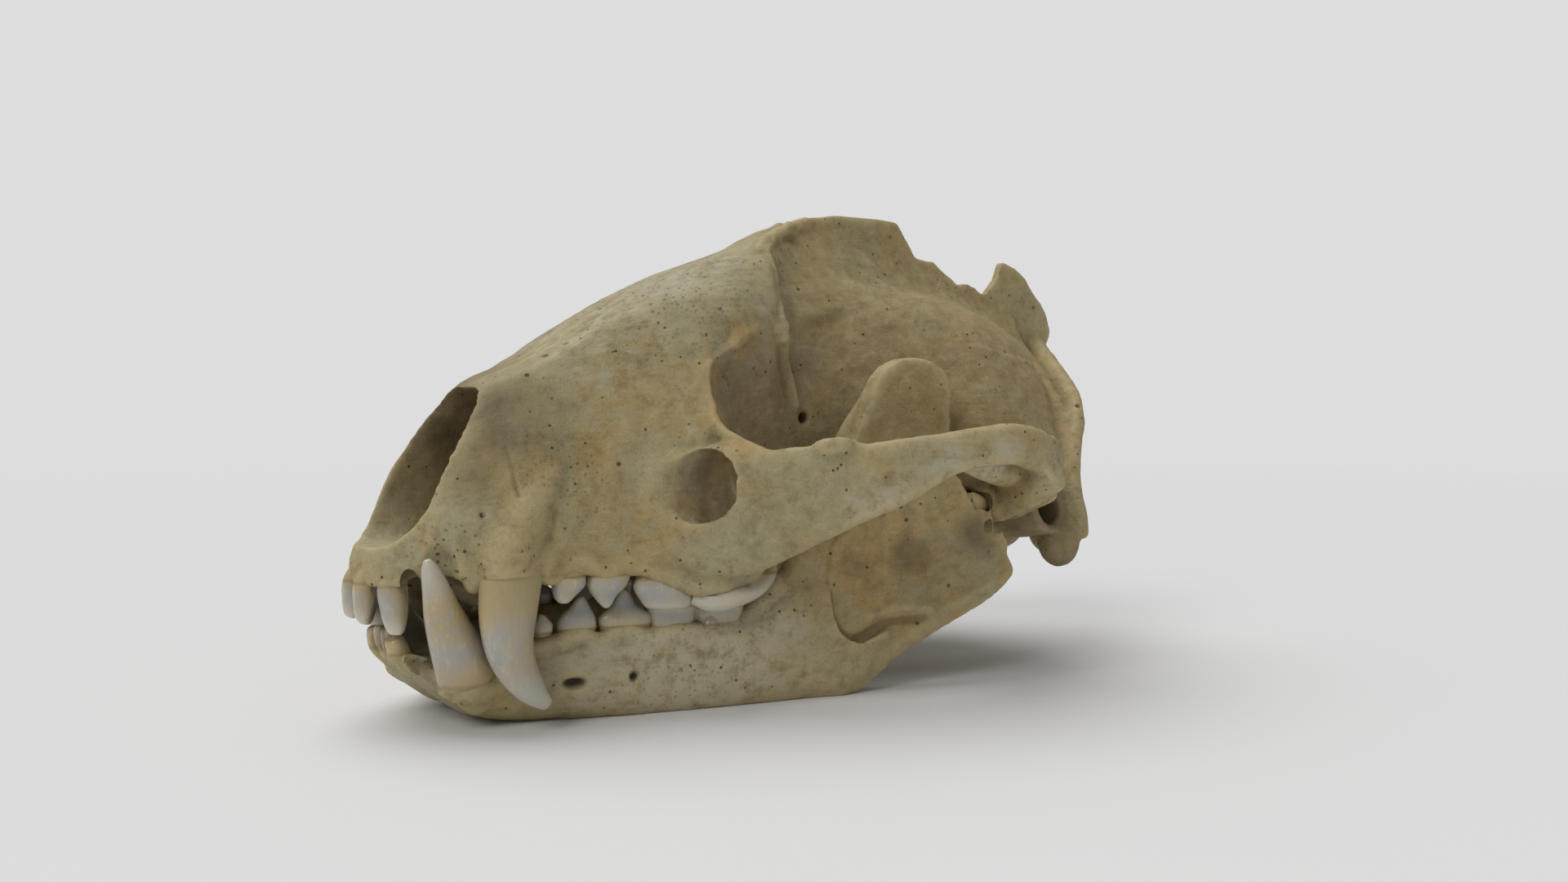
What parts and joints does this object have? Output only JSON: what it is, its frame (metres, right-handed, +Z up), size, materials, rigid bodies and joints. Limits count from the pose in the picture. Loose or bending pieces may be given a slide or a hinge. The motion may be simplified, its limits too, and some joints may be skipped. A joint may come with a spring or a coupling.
{
  "type": "badger skull",
  "caption": "Life-size skull of a badger with its lower jaw closed, long snout, wide cheek arches and a broken crest along the roof of the braincase.",
  "frame": {"origin": "on the floor under the middle of the skull's length and width", "axes": "-Y towards the nose, +X towards the animal's left side, +Z up"},
  "size_m": [0.0794, 0.1349, 0.0755],
  "materials": {
    "skull_bone": "dry matte bone, ochre with grey-green and orange patches",
    "jaw_bone": "dry matte bone, a little yellower than the cranium",
    "teeth": "worn enamel, off-white with yellow stains"
  },
  "bodies": {
    "root": {"snout": "skull_bone", "forehead": "skull_bone", "braincase": "skull_bone", "sagittal_crest": "skull_bone", "occiput": "skull_bone", "zygomatic_arch_left": "skull_bone", "zygomatic_arch_right": "skull_bone", "auditory_bulla_left": "skull_bone", "auditory_bulla_right": "skull_bone", "mandible_left": "jaw_bone", "mandible_right": "jaw_bone"}
  },
  "joints": []
}
